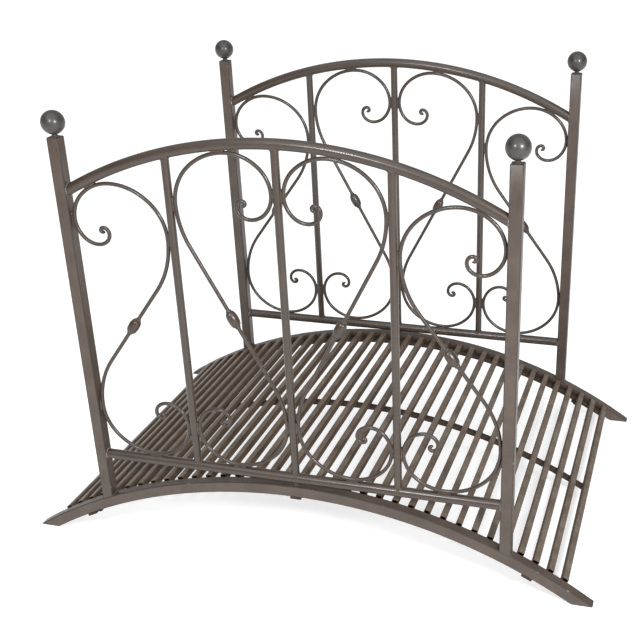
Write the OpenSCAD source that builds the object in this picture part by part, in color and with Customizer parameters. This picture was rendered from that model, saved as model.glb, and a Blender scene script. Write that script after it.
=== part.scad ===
/* [Overall] */
// Length along the ground, from tip to tip of a stringer
bridge_length = 1282; // [1150:1:1400]
// Height of the stringers' top face at the crown
arch_rise = 196; // [160:1:240]
// Reach of the stringers' tips beyond the axes of the posts
tip_reach = 186; // [160:1:220]
// Distance between the middle planes of the two railings
railing_spacing = 820; // [600:1:1000]

/* [Posts and finials] */
// Side of the square tube of the posts and stringers
post_w = 25; // [22:0.5:28]
// Corner radius of that tube
post_corner = 2; // [1:0.25:4]
// Height of the flat post tops over the ends of the top rail's axis
post_over_rail = 106; // [60:1:140]
// Diameter of the ball on each post
ball_d = 47; // [40:1:60]
// Diameter of the neck under the ball
neck_d = 11; // [8:0.5:16]
// Height of the neck that shows under the ball
neck_h = 5; // [2:0.5:10]

/* [Rails and balusters] */
// Diameter of the round rails
rail_d = 22; // [18:0.5:25]
// Gap between the stringer's crown and the bottom rail
bottom_rail_gap = 5; // [2:0.5:12]
// Height of the top rail's axis over the bottom rail's, at the crown
railing_height = 718; // [690:1:750]
// Rise of the top rail's axis from the posts to its crown
top_rail_rise = 115; // [90:1:130]
// Diameter of the three balusters of a railing
baluster_d = 16.5; // [14:0.5:20]
// Diameter of the stub between a bottom rail and the stringer's crown
stub_d = 12; // [8:0.5:16]

/* [Scrolls] */
// Diameter of the round bar of the scrolls
rod_d = 8; // [6:0.5:10]
// Radius between the diagonal and the loop, as a share of the loop's width
shoulder_share = 0.92; // [0.8:0.01:1]
// Radii of the first and second eighth turn of the loop, as shares of its width
crown_shares = [0.51, 0.595];
// Shrinking of the radius from each eighth turn of the curl to the next
curl_shrink_share = 0.77; // [0.75:0.005:0.78]
// Shrinking of the radius from each eighth turn of the curl's eye to the next
eye_shrink_share = 0.7; // [0.69:0.005:0.74]
// Number of eighth turns in the eye, after the two of the crown and the four of the curl
eye_turns = 9; // [6:1:9]
// Radius of the eye's tightest turns, as a share of the bar's radius there
eye_tight_share = 1.25; // [1.15:0.05:1.4]
// Diameter of the bar at its tips, to which it is drawn out along the eye
tip_d = 5; // [4:0.5:6]
// Largest diameter of the bead on the diagonal
bead_d = 23; // [18:0.5:28]
// Length of the bead without its collars
bead_length = 34; // [26:1:44]
// Diameter of the two collars of a bead
collar_d = 12; // [10:0.5:15]
// Length of a collar
collar_length = 3; // [2:0.5:5]

/* [Deck] */
// Number of slats
slat_count = 35; // [15:5:35]
// Width of a slat
slat_w = 15; // [10:0.5:18]
// Height of a slat
slat_h = 10; // [8:0.5:12]
// Wall of the slats and bearers
slat_wall = 1.2; // [0.8:0.1:2]
// Height of the slats' tops over the stringers' top faces
slat_rise = 3; // [0:0.5:4]
// Distance along the stringer's top from its tip to the axis of the last slat
deck_end_reach = 73; // [60:1:120]
// Gap between a slat's end and the stringer
slat_end_gap = 3.5; // [3:0.5:10]
// Distance along the stringer from a post's axis out to the bracket beside it
bracket_offset = 65; // [30:1:80]
// Width of a deck bracket along the deck
bracket_w = 24; // [16:1:30]
// Part of the stringer's width that a bracket runs under, as a share of it
bracket_cover_share = 1; // [0.5:0.05:1]
// Thickness of a deck bracket
bracket_t = 5; // [2:0.5:8]

/* [Fit] */
// Gap left for the weld where a curved face meets another piece
weld_gap = 0.25; // [0.2:0.05:0.4]

/* [Hidden] */
$fn = 64;
// Facets of a full turn on the long arcs
arc_facets = 720;
// Facets round a bar
bar_facets = 48;
// Sides of a scroll's bar, and steps along each of its arcs and each arc of its eyes
bar_sides = 8;
arc_steps = 4;
eye_steps = 2;
steel = "#6b625b";
dark_steel = "#554c45";
ends = [-1, 1];
turn = 360;
quarter = turn / 4;
eighth = turn / 8;
// Cuts run past the faces that they cut by this much
overrun = post_w;

// Arch of the stringers: a circle through both tips and the crown
half_length = bridge_length / 2;
arch_r = (pow(half_length, 2) + pow(arch_rise, 2)) / (2 * arch_rise);
arch_z = arch_rise - arch_r;
tip_angle = asin(half_length / arch_r);
// Angle of a distance along the arch's top
function arc_angle(distance) = distance / arch_r * turn / (2 * PI);
// Angle past the tips that the level cuts take off
cut_angle = tip_angle / 4;
post_x = half_length - tip_reach;
post_angle = asin(post_x / arch_r);
railing_y = railing_spacing / 2;
inner_face_x = post_x - post_w / 2;
inner_face_y = railing_y - post_w / 2;

// Heights of the rails, and the arc of the top rail's axis from post to post
bottom_rail_z = arch_rise + bottom_rail_gap + rail_d / 2;
top_rail_crown_z = bottom_rail_z + railing_height;
post_top = top_rail_crown_z - top_rail_rise + post_over_rail;
top_rail_r = (pow(inner_face_x, 2) + pow(top_rail_rise, 2)) / (2 * top_rail_rise);
top_rail_z = top_rail_crown_z - top_rail_r;
top_rail_angle = asin(post_x / top_rail_r);

// Four bays of the same clear width between the posts and balusters
baluster_count = 3;
bay_count = baluster_count + 1;
bay = (2 * inner_face_x - baluster_count * baluster_d) / bay_count;
bay_pitch = bay + baluster_d;

// One loop of a scroll: it fills its bay and shrinks into a curl, which ends in a small eye
curl_turns = 4;
low_shoulder_share = 0.85;
loop_w = bay - rod_d - 2 * weld_gap;
curl_share = (1 - crown_shares[0] * (1 - cos(eighth)) - crown_shares[1] * sin(eighth))
    / (sin(eighth) + curl_shrink_share * (1 - cos(eighth)));
curl_shares = [for (i = [0 : curl_turns - 1]) curl_share * pow(curl_shrink_share, i)];
eye_shares = [for (i = [1 : eye_turns]) curl_shares[curl_turns - 1] * pow(eye_shrink_share, i)];
// Radius of the bar itself, this many eighth turns into the eye
function bar_r(eye_turn) = rod_d / 2 - (rod_d - tip_d) / 2 * eye_turn / eye_turns;
eye_radii = [for (i = [0 : eye_turns - 1]) max(loop_w * eye_shares[i], eye_tight_share * bar_r(i))];
loop_radii = concat(loop_w * crown_shares, loop_w * curl_shares, eye_radii);
loop_top_share = crown_shares[0] * sin(eighth) + crown_shares[1] * (1 - cos(eighth));
loop_side_share = crown_shares[0] * (1 - cos(eighth)) + crown_shares[1] * sin(eighth);

// Height of a scroll's topmost point, where a loop arc of radius r, with its
// topmost point at x, touches the underside of the top rail
function scroll_top(x, r) =
    top_rail_z + r + sqrt(pow(top_rail_r - rail_d / 2 - weld_gap - rod_d / 2 - r, 2) - pow(x, 2));
scroll_bottom = bottom_rail_z + rail_d / 2 + weld_gap + rod_d / 2;
loop_top_x = loop_w * (loop_side_share - 1 / 2);
outer_top = scroll_top(bay_pitch + bay_pitch / 2 + loop_top_x, loop_w * curl_share);
inner_top = scroll_top(bay_pitch / 2 - loop_top_x, loop_w * crown_shares[1]);

// Height of the shoulder's end over the bead, in a scroll of height h
function shoulder_rise(h) = h / 2 - loop_w * loop_top_share;
// Radius of the shoulder: in a low bay it is a share of the one that would leave no straight stretch
function shoulder_r(h) = min(
    loop_w * shoulder_share,
    low_shoulder_share * (pow(shoulder_rise(h), 2) + pow(loop_w / 2, 2)) / loop_w
);
// Slope of the diagonal
function diagonal_angle(h) =
    let (side = [loop_w / 2 - shoulder_r(h), shoulder_rise(h)])
    acos(shoulder_r(h) / norm(side)) - atan2(side[0], side[1]);
// Half the length of the diagonal's straight stretch
function diagonal_half(h) =
    (loop_w / 2 - shoulder_r(h) * (1 - sin(diagonal_angle(h)))) / cos(diagonal_angle(h));
// Point at the end of an arc that starts at p with this heading
function arc_end(p, heading, r, sweep) =
    p + r * [sin(heading + sweep) - sin(heading), cos(heading) - cos(heading + sweep)];

// Deck: slats on the top faces' arc, on bearers of the same tube
slat_r = arch_r + slat_rise - slat_h / 2;
slat_length = 2 * (inner_face_y - slat_end_gap);
bearer_angle = tip_angle - arc_angle(deck_end_reach);
slat_step = 2 * bearer_angle / (slat_count - 1);
bearer_r = slat_r - slat_h - weld_gap;
bearer_y = slat_length / 2 - slat_w / 2;
slat_groups = ["left_end", "left", "middle", "right", "right_end"];
group_size = slat_count / len(slat_groups);
bracket_angle = post_angle + arc_angle(bracket_offset);
bracket_top_r = arch_r - post_w - weld_gap;

// Stands a shape drawn flat upright in the plane at this y
module upright(y) {
    translate([0, y, 0])
        rotate([quarter, 0, 0])
            children();
}

// Turns a shape about the arch's axis to this angle from the crown
module on_arch(angle) {
    translate([0, 0, arch_z])
        rotate([0, angle, 0])
            children();
}

// Section of the square tube, with rounded corners
module post_section() {
    flat = post_w - 2 * post_corner;
    union() {
        square([post_w, flat], center = true);
        square([flat, post_w], center = true);
        for (x = ends, y = ends)
            translate([x * flat / 2, y * flat / 2])
                circle(r = post_corner, $fn = bar_facets);
    }
}

// Section of the same tube where it is bent to the arch, with bevelled corners
module stringer_section() {
    bevel = post_corner * (2 - sqrt(2));
    intersection() {
        square(post_w, center = true);
        rotate(eighth)
            square(sqrt(2) * (post_w - bevel), center = true);
    }
}

// Bar bent round the arch's axis, from the section drawn by the children
module bent_along_arch(r, angle, y) {
    upright(y)
        translate([0, arch_z, 0])
            rotate([0, 0, quarter - angle])
                rotate_extrude(angle = 2 * angle, $fn = arc_facets)
                    translate([r, 0])
                        children();
}

// Arched stringer, cut level at both ends so that it lies on the ground
module stringer(y) {
    color(steel)
        difference() {
            bent_along_arch(arch_r - post_w / 2, tip_angle + cut_angle, y)
                stringer_section();
            translate([-bridge_length, y - post_w, -bridge_length])
                cube([2 * bridge_length, 2 * post_w, bridge_length]);
        }
}

// Post standing on the stringer's top face
module post(x, y) {
    color(steel)
        difference() {
            translate([x, y, 0])
                linear_extrude(post_top)
                    post_section();
            upright(y)
                translate([0, arch_z, -post_w])
                    cylinder(r = arch_r + weld_gap, h = 2 * post_w, $fn = arc_facets);
        }
}

// Ball on a short neck
module finial(x, y) {
    ball_z = neck_h + sqrt(pow(ball_d, 2) - pow(neck_d, 2)) / 2;
    color(steel)
        translate([x, y, post_top])
            union() {
                cylinder(d = neck_d, h = ball_z);
                translate([0, 0, ball_z])
                    sphere(d = ball_d);
            }
}

// Ring that the top rail is cut from, thicker all round by the grown amount
module top_rail_ring(y, grown) {
    upright(y)
        translate([0, top_rail_z, 0])
            rotate([0, 0, quarter - top_rail_angle])
                rotate_extrude(angle = 2 * top_rail_angle, $fn = arc_facets)
                    translate([top_rail_r, 0])
                        circle(d = rail_d + 2 * grown, $fn = bar_facets);
}

// Arched top rail between the posts
module top_rail(y) {
    color(steel)
        intersection() {
            top_rail_ring(y, 0);
            translate([-inner_face_x, y - rail_d, 0])
                cube([2 * inner_face_x, 2 * rail_d, post_top + overrun]);
        }
}

// Level bottom rail between the posts
module bottom_rail(y) {
    color(steel)
        translate([-inner_face_x, y, bottom_rail_z])
            rotate([0, quarter, 0])
                cylinder(d = rail_d, h = 2 * inner_face_x);
}

// Space of the bottom rail, with the gap for the weld
module bottom_rail_space(y) {
    translate([-inner_face_x, y, bottom_rail_z])
        rotate([0, quarter, 0])
            cylinder(d = rail_d + 2 * weld_gap, h = 2 * inner_face_x);
}

// Stub between the bottom rail and the stringer's crown
module rail_stub(y) {
    color(steel)
        difference() {
            translate([0, y, arch_rise - overrun])
                cylinder(d = stub_d, h = bottom_rail_z - arch_rise + overrun);
            bottom_rail_space(y);
            upright(y)
                translate([0, arch_z, -post_w])
                    cylinder(r = arch_r + weld_gap, h = 2 * post_w, $fn = arc_facets);
        }
}

// Baluster, shaped to both rails
module baluster(x, y) {
    rail_z = top_rail_z + sqrt(pow(top_rail_r, 2) - pow(x, 2));
    color(steel)
        difference() {
            translate([x, y, bottom_rail_z])
                cylinder(d = baluster_d, h = rail_z - bottom_rail_z);
            bottom_rail_space(y);
            top_rail_ring(y, weld_gap);
        }
}

// Points, headings and bar radii along half of a scroll, drawn flat from the bead's middle:
// the end of the diagonal, then shoulder, crown, curl and eye
function half_path(h) =
    let (
        angle = diagonal_angle(h),
        start = diagonal_half(h) * [cos(angle), sin(angle)],
        sweeps = concat([quarter - angle], [for (r = loop_radii) eighth]),
        radii = concat([shoulder_r(h)], loop_radii),
        eye_start = len(radii) - eye_turns,
        arcs = [
            for (
                i = 0, p = start, heading = angle;
                i < len(radii);
                p = arc_end(p, heading, radii[i], sweeps[i]), heading = heading + sweeps[i], i = i + 1
            )
            [p, heading, radii[i], sweeps[i]]
        ]
    )
    concat(
        [[start, angle, bar_r(0)]],
        [
            for (i = [0 : len(arcs) - 1])
            let (arc = arcs[i], steps = i < eye_start ? arc_steps : eye_steps)
            for (step = [1 : steps])
            let (sweep = arc[3] * step / steps, eye_turn = max(0, i - eye_start + step / steps))
            [arc_end(arc[0], arc[1], arc[2], sweep), arc[1] + sweep, bar_r(eye_turn)]
        ]
    );

// Round bar swept along a flat path of points, headings and bar radii
module bar_along(path) {
    last = len(path) - 1;
    points = [
        for (place = path, side = [0 : bar_sides - 1])
        let (
            around = side * turn / bar_sides,
            out = place[2] * cos(around)
        )
        [
            place[0][0] + out * sin(place[1]),
            place[0][1] - out * cos(place[1]),
            place[2] * sin(around)
        ]
    ];
    walls = [
        for (i = [0 : last - 1], side = [0 : bar_sides - 1])
        let (
            next = (side + 1) % bar_sides,
            here = i * bar_sides,
            there = here + bar_sides,
            wall = [here + side, there + side, there + next, here + next]
        )
        each path[i][2] == path[i + 1][2]
            ? [wall]
            : [[wall[0], wall[1], wall[2]], [wall[0], wall[2], wall[3]]]
    ];
    first_end = [for (side = [0 : bar_sides - 1]) side];
    last_end = [for (side = [bar_sides - 1 : -1 : 0]) last * bar_sides + side];
    polyhedron(points, concat([first_end], walls, [last_end]));
}

// S scroll that fills a bay up to this height, the same at both ends
module scroll(top) {
    half = half_path(top - scroll_bottom);
    other_half = [for (i = [len(half) - 1 : -1 : 0]) [-half[i][0], half[i][1], half[i][2]]];
    bar_along(concat(other_half, half));
}

// Ovoid bead with a collar at each end, on the diagonal of a scroll
module bead(top) {
    bulge = (bead_d - collar_d) / 2;
    bow = (pow(bead_length / 2, 2) + pow(bulge, 2)) / (2 * bulge);
    full_length = bead_length + 2 * collar_length;
    rotate([0, 0, diagonal_angle(top - scroll_bottom)])
        rotate([0, quarter, 0])
            difference() {
                union() {
                    rotate_extrude()
                        intersection() {
                            translate([bead_d / 2 - bow, 0])
                                circle(r = bow);
                            translate([0, -bead_length / 2])
                                square([bead_d, bead_length]);
                        }
                    cylinder(d = collar_d, h = full_length, center = true);
                }
                cylinder(d = rod_d + 2 * weld_gap, h = full_length + 2 * overrun, center = true);
            }
}

// Height that the scroll of a bay reaches: the outer bays lie under the falling rail
function bay_top(number) = number == 1 || number == bay_count ? outer_top : inner_top;

// Places a shape in one of a railing's bays, counted from the left, with every second one mirrored
module in_bay(number, y) {
    color(steel)
        upright(y)
            translate([(number - (bay_count + 1) / 2) * bay_pitch, (scroll_bottom + bay_top(number)) / 2])
                mirror([(number + 1) % 2, 0, 0])
                    children();
}

// Scroll of one bay
module bay_scroll(number, y) {
    in_bay(number, y)
        scroll(bay_top(number));
}

// The beads of a railing
module beads(y) {
    for (number = [1 : bay_count])
        in_bay(number, y)
            bead(bay_top(number));
}

// Hollow section of a slat or bearer
module slat_section() {
    difference() {
        square([slat_h, slat_w], center = true);
        square([slat_h - 2 * slat_wall, slat_w - 2 * slat_wall], center = true);
    }
}

// One slat across the deck, a flat tube with open ends
module slat(angle) {
    on_arch(angle)
        translate([0, -slat_length / 2, slat_r])
            rotate([-quarter, quarter, 0])
                linear_extrude(slat_length)
                    slat_section();
}

// One group of neighbouring slats
module deck_slats(group) {
    first = group * group_size;
    color(steel)
        for (i = [first : first + group_size - 1])
            slat((i - (slat_count - 1) / 2) * slat_step);
}

// Curved bearer under the slats
module bearer(y) {
    color(dark_steel)
        bent_along_arch(bearer_r, bearer_angle, y)
            slat_section();
}

// Brackets that hang the deck from the underside of a stringer
module deck_brackets(side) {
    plate_y = inner_face_y - slat_end_gap - slat_w;
    reach = inner_face_y + post_w * bracket_cover_share - plate_y;
    lift = bearer_r - slat_h / 2 - weld_gap - bracket_top_r;
    color(dark_steel)
        for (angle = [-bracket_angle, 0, bracket_angle])
            on_arch(angle)
                mirror([0, side < 0 ? 1 : 0, 0])
                    translate([-bracket_w / 2, plate_y, bracket_top_r - bracket_t])
                        union() {
                            cube([bracket_w, reach, bracket_t]);
                            cube([bracket_w, bracket_t, bracket_t + lift]);
                        }
}

stringer(-railing_y);  // front_stringer
stringer(railing_y);  // back_stringer
post(-post_x, -railing_y);  // front_left_post
post(post_x, -railing_y);  // front_right_post
post(-post_x, railing_y);  // back_left_post
post(post_x, railing_y);  // back_right_post
finial(-post_x, -railing_y);  // front_left_finial
finial(post_x, -railing_y);  // front_right_finial
finial(-post_x, railing_y);  // back_left_finial
finial(post_x, railing_y);  // back_right_finial
top_rail(-railing_y);  // front_top_rail
top_rail(railing_y);  // back_top_rail
bottom_rail(-railing_y);  // front_bottom_rail
bottom_rail(railing_y);  // back_bottom_rail
rail_stub(-railing_y);  // front_rail_stub
rail_stub(railing_y);  // back_rail_stub
baluster(-bay_pitch, -railing_y);  // front_left_baluster
baluster(0, -railing_y);  // front_middle_baluster
baluster(bay_pitch, -railing_y);  // front_right_baluster
baluster(-bay_pitch, railing_y);  // back_left_baluster
baluster(0, railing_y);  // back_middle_baluster
baluster(bay_pitch, railing_y);  // back_right_baluster
bay_scroll(1, -railing_y);  // front_scroll_1
bay_scroll(2, -railing_y);  // front_scroll_2
bay_scroll(3, -railing_y);  // front_scroll_3
bay_scroll(4, -railing_y);  // front_scroll_4
bay_scroll(1, railing_y);  // back_scroll_1
bay_scroll(2, railing_y);  // back_scroll_2
bay_scroll(3, railing_y);  // back_scroll_3
bay_scroll(4, railing_y);  // back_scroll_4
beads(-railing_y);  // front_beads
beads(railing_y);  // back_beads
bearer(-bearer_y);  // front_bearer
bearer(0);  // middle_bearer
bearer(bearer_y);  // back_bearer
deck_slats(0);  // deck_slats_left_end
deck_slats(1);  // deck_slats_left
deck_slats(2);  // deck_slats_middle
deck_slats(3);  // deck_slats_right
deck_slats(4);  // deck_slats_right_end
deck_brackets(-1);  // front_deck_brackets
deck_brackets(1);  // back_deck_brackets
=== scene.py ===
import math

import bmesh
import bpy
from mathutils import Matrix, Vector


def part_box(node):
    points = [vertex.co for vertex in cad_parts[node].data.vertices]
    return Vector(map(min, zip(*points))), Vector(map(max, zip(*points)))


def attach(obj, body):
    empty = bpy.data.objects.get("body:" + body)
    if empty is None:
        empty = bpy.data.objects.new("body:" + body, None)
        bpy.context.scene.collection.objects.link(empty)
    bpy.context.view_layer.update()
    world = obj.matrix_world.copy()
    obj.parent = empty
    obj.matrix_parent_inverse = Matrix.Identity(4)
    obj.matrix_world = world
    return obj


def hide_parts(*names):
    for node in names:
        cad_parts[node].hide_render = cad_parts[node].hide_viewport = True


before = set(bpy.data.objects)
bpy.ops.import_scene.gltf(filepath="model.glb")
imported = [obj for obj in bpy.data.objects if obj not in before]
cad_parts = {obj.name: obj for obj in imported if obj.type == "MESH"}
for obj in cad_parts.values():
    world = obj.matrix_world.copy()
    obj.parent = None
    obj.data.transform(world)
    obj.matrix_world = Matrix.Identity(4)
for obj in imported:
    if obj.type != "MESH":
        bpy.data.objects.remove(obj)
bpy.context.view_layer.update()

bl_info = {
    "name": "Arched garden bridge",
    "version": (1, 0, 0),
    "blender": (4, 5, 0),
    "location": "3D View > Sidebar > Bridge",
    "description": "Builds the finished pieces of a welded steel garden bridge over its CAD frame",
    "category": "Add Mesh",
}

SIDES = {"front": -1, "back": 1}
ENDS = {"left": -1, "right": 1}
BAYS = (1, 2, 3, 4)
MIDDLE_BAY = sum(BAYS) / len(BAYS)
SLAT_GROUPS = ("left_end", "left", "middle", "right", "right_end")
EIGHTH = math.pi / 4
PER_METRE = 1000
# Points nearer than this are one point of a seam, in metres
SEAM = 1e-6
# Share of a tube's wall by which its bore's corners are tighter, and past which a face counts as inside
BORE_SHARE = 0.9


# Sizes read from the frame, and the kinds of values that a user can set

def low(node):
    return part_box(node)[0]


def high(node):
    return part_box(node)[1]


def extent(node, axis):
    return high(node)[axis] - low(node)[axis]


def middle(node, axis):
    return (high(node)[axis] + low(node)[axis]) / 2


def linear(hex_colour):
    """Turns an sRGB hex colour into linear red, green, blue and alpha."""
    channels = [int(hex_colour[i:i + 2], 16) / 255 for i in (1, 3, 5)]
    return [c / 12.92 if c <= 0.04045 else ((c + 0.055) / 1.055) ** 2.4 for c in channels] + [1.0]


def length_value(name, description, default):
    return bpy.props.FloatProperty(
        name=name, description=description, default=round(default, 6), min=0.0, precision=4,
        subtype="DISTANCE", unit="LENGTH",
    )


def share_value(name, description, default):
    return bpy.props.FloatProperty(
        name=name, description=description, default=default, min=0.0, max=1.0, subtype="FACTOR",
    )


def colour_value(name, description, default):
    return bpy.props.FloatVectorProperty(
        name=name, description=description, default=linear(default), size=4, min=0.0, max=1.0,
        subtype="COLOR",
    )


class BridgeSizes(bpy.types.PropertyGroup):
    """Sizes of the bridge's pieces, read from the CAD frame where a node's box gives them."""

    length: length_value("Length", "Length of a stringer over its tips", extent("front_stringer", 0))
    rise: length_value("Rise", "Height of the stringers' top face at the crown", high("front_stringer")[2])
    tube: length_value(
        "Square tube", "Side of the square tube of posts and stringers", extent("front_stringer", 1))
    tube_corner: length_value("Tube corner", "Corner radius of the square tube", 0.002)
    corner_line: length_value("Corner line", "Reach of the dark corner lines on the tube's flats", 0.0008)
    railing_y: length_value(
        "Railing offset", "Distance of a railing from the middle", middle("back_stringer", 1))
    post_x: length_value("Post offset", "Distance of a post from the middle", middle("front_right_post", 0))
    post_top: length_value("Post top", "Height of the posts' flat tops", high("front_right_post")[2])
    post_ease: length_value("Post ease", "Reach of the eased edge round a post's top", 0.0012)
    ball: length_value("Ball", "Diameter of the ball on a post", extent("front_right_finial", 1))
    ball_top: length_value("Ball top", "Height of the balls' tops", high("front_right_finial")[2])
    neck: length_value("Neck", "Diameter of the neck under a ball", 0.011)
    neck_fillet: length_value("Neck fillet", "Radius of the fillet at a neck's foot", 0.0015)
    rail: length_value("Rail", "Diameter of the round rails", extent("front_bottom_rail", 2))
    rail_tuck: share_value("Rail tuck", "Share of a post's width that the rails' ends run into", 0.3)
    bottom_rail_z: length_value(
        "Bottom rail height", "Height of the bottom rails' axis", middle("front_bottom_rail", 2))
    top_rail_z: length_value(
        "Top rail height", "Height of the top rails' axis at the crown",
        high("front_top_rail")[2] - extent("front_top_rail", 1) / 2,
    )
    top_rail_rise: length_value(
        "Top rail rise", "Rise of a top rail's axis from the posts to its crown", 0.115)
    baluster: length_value("Baluster", "Diameter of a baluster", extent("front_middle_baluster", 0))
    stub: length_value("Stub", "Diameter of the stub under a bottom rail", extent("front_rail_stub", 0))
    stub_tuck: share_value("Stub tuck", "Share of a stringer's height that a stub runs into", 0.2)
    rod: length_value("Scroll bar", "Diameter of the scrolls' round bar", extent("front_scroll_1", 1))
    bead: length_value("Bead", "Largest diameter of a bead", 0.023)
    bead_length: length_value("Bead length", "Length of a bead without its collars", 0.034)
    collar: length_value("Collar", "Diameter of a bead's collars", 0.012)
    collar_length: length_value("Collar length", "Length of a collar", 0.003)
    collar_ease: length_value("Collar ease", "Reach of the eased edges of a collar", 0.0007)
    slat_count: bpy.props.IntProperty(name="Slats", description="Number of deck slats", default=35, min=2)
    slat_width: length_value("Slat width", "Width of a slat, narrower than in the CAD", 0.0137)
    slat_height: length_value("Slat height", "Height of a slat, taller than in the CAD", 0.0155)
    bearer_width: length_value("Bearer width", "Width of a bearer", extent("front_bearer", 1))
    bearer_height: length_value("Bearer height", "Height of a bearer", 0.010)
    slat_wall: length_value("Slat wall", "Wall of the slats and bearers", 0.0012)
    slat_corner: length_value("Slat corner", "Corner radius of a slat", 0.002)
    slat_rise: length_value("Slat rise", "Height of the slats' tops over the stringers", 0.003)
    slat_length: length_value(
        "Slat length", "Length of a slat across the deck", extent("deck_slats_middle", 1))
    deck_end_reach: length_value(
        "Deck end", "Distance along a stringer from its tip to the last slat", 0.073)
    bracket_reach: length_value(
        "Bracket reach", "Distance along a stringer from a post out to a bracket", 0.065)
    bracket_width: length_value("Bracket width", "Width of a deck bracket", 0.024)
    bracket_cover: share_value("Bracket cover", "Share of the stringer's width over a bracket", 1.0)
    bracket_thickness: length_value("Bracket thickness", "Thickness of a bracket's plate", 0.005)
    bracket_bevel: length_value("Bracket bevel", "Reach of the bevel along a bracket's edges", 0.0005)
    bolt_head: length_value("Bolt head", "Radius of a bolt's head", 0.0065)
    bolt_height: length_value("Bolt height", "Height of a bolt's head", 0.0055)
    washer: length_value("Washer", "Radius of a washer", 0.0085)
    washer_height: length_value("Washer height", "Thickness of a washer", 0.002)
    weld_gap: length_value("Weld gap", "Gap that the welds fill", 0.00025)
    weld: length_value("Weld", "Radius of a weld's ripples", 0.0019)
    weld_pitch: length_value("Weld pitch", "Distance between a weld's ripples", 0.0021)
    scroll_weld: length_value("Scroll weld", "Half the length of a weld beside a scroll", 0.012)
    scroll_weld_offset: length_value(
        "Scroll weld offset", "Distance of a scroll's welds from the middle of the bar", 0.0024)
    deck_weld: length_value("Deck weld", "Half the length of a weld under a slat", 0.0045)


class ScrollShape(bpy.types.PropertyGroup):
    """Shape of the S scrolls, in shares of a loop's width."""

    shoulder: share_value("Shoulder", "Radius between the diagonal and the loop", 0.92)
    low_shoulder: share_value("Low shoulder", "Share of the widest shoulder that a low bay takes", 0.85)
    first_crown: share_value("First crown", "Radius of the loop's first eighth turn", 0.51)
    second_crown: share_value("Second crown", "Radius of the loop's second eighth turn", 0.595)
    curl_shrink: share_value("Curl shrink", "Shrinking of the radius at each eighth turn of the curl", 0.77)
    eye_shrink: share_value("Eye shrink", "Shrinking of the radius at each eighth turn of the eye", 0.7)
    curl_turns: bpy.props.IntProperty(
        name="Curl turns", description="Eighth turns in the curl", default=4, min=1)
    eye_turns: bpy.props.IntProperty(
        name="Eye turns", description="Eighth turns in the eye", default=9, min=1)
    eye_tight: bpy.props.FloatProperty(
        name="Eye tightness", description="Radius of the eye's tightest turns over the bar's radius there",
        default=1.25, min=1.0)
    tip: share_value("Tip", "Share of the bar's thickness that is left at its drawn-out tips", 0.625)


class BridgeFinish(bpy.types.PropertyGroup):
    """Colours of the paint and steel."""

    frame_paint: colour_value("Frame paint", "Paint of posts and stringers", "#3b2e22")
    rail_paint: colour_value("Rail paint", "Paint of rails and balusters", "#32261b")
    scroll_paint: colour_value("Scroll paint", "Paint of scrolls and beads", "#30251b")
    ball_paint: colour_value("Ball paint", "Paint of the balls", "#29231f")
    deck_paint: colour_value("Deck paint", "Paint on the slats' tops", "#574b3e")
    # Painted shade: the slats' sides get this darker brown for the shade between the slats
    deck_side_shade: colour_value("Deck side paint", "Thinner, browner paint on the slats' sides", "#3f2c16")
    # Painted shade: darker than the frame paint, for the shade under the deck
    under_paint: colour_value("Under-deck paint", "Paint of bearers and brackets", "#32271d")
    brown: colour_value("Brown", "Brown that shows through thin paint", "#382415")
    edge: colour_value("Edge", "Dark line along the square tube's corners", "#17120f")
    chip: colour_value("Chip", "Pale steel where a corner's paint is chipped", "#a8a19a")
    weld: colour_value("Weld", "Paint on the welds", "#453a30")
    bare_weld: colour_value("Bare weld", "Thinly painted steel of the rail ends' welds", "#77706a")
    # Painted shade: near black for the dark inside of the open slats
    hollow: colour_value("Hollow", "Bare steel inside the slats", "#120f0d")
    bolt: colour_value("Bolt", "Darkened steel of the bolts", "#2b2724")


class BridgeStage(bpy.types.PropertyGroup):
    """Floor, lights and camera."""

    floor: colour_value("Floor", "Colour of the floor", "#c8c7c5")
    floor_glow: bpy.props.FloatProperty(
        name="Floor glow", description="Light that comes through the floor, which keeps its shadows pale",
        default=0.57, min=0.0)
    zenith: colour_value("Zenith", "Colour of the surrounding light overhead", "#eceff5")
    horizon: colour_value("Horizon", "Colour of the surrounding light over the far walls", "#6e6c6a")
    walls: colour_value("Far walls", "Colour of the far walls round the floor", "#b4b3b1")
    backdrop: colour_value("Backdrop", "Colour of the pale backdrop behind the bridge", "#c4c4c4")
    surround: bpy.props.FloatProperty(
        name="Surround", description="Strength of the surrounding light", default=0.9, min=0.0)
    left_power: bpy.props.FloatProperty(
        name="Left softbox", description="Power of the left softbox", default=30.0, min=0.0, unit="POWER")
    right_power: bpy.props.FloatProperty(
        name="Right softbox", description="Power of the right softbox", default=102.0, min=0.0, unit="POWER")
    top_strength: bpy.props.FloatProperty(
        name="Overhead strength", description="Strength of the broad overhead light", default=1.2, min=0.0)
    lens: bpy.props.FloatProperty(
        name="Lens", description="Focal length on a 36 mm wide sensor", default=61.54, min=1.0, unit="CAMERA")


# Small helpers shared by the pieces

def sizes():
    return bpy.context.scene.bridge_sizes


def finish_colours():
    return bpy.context.scene.bridge_finish


def add_node(tree, kind, inputs=None, **settings):
    """Adds a node, sets its settings, and sets or links its inputs."""
    node = tree.nodes.new(kind)
    for name, value in settings.items():
        setattr(node, name, value)
    for key, value in (inputs or {}).items():
        if isinstance(value, bpy.types.NodeSocket):
            tree.links.new(value, node.inputs[key])
        else:
            node.inputs[key].default_value = value
    return node


def new_piece(name, mesh):
    piece = bpy.data.objects.new(name, mesh)
    bpy.context.scene.collection.objects.link(piece)
    return piece


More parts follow.
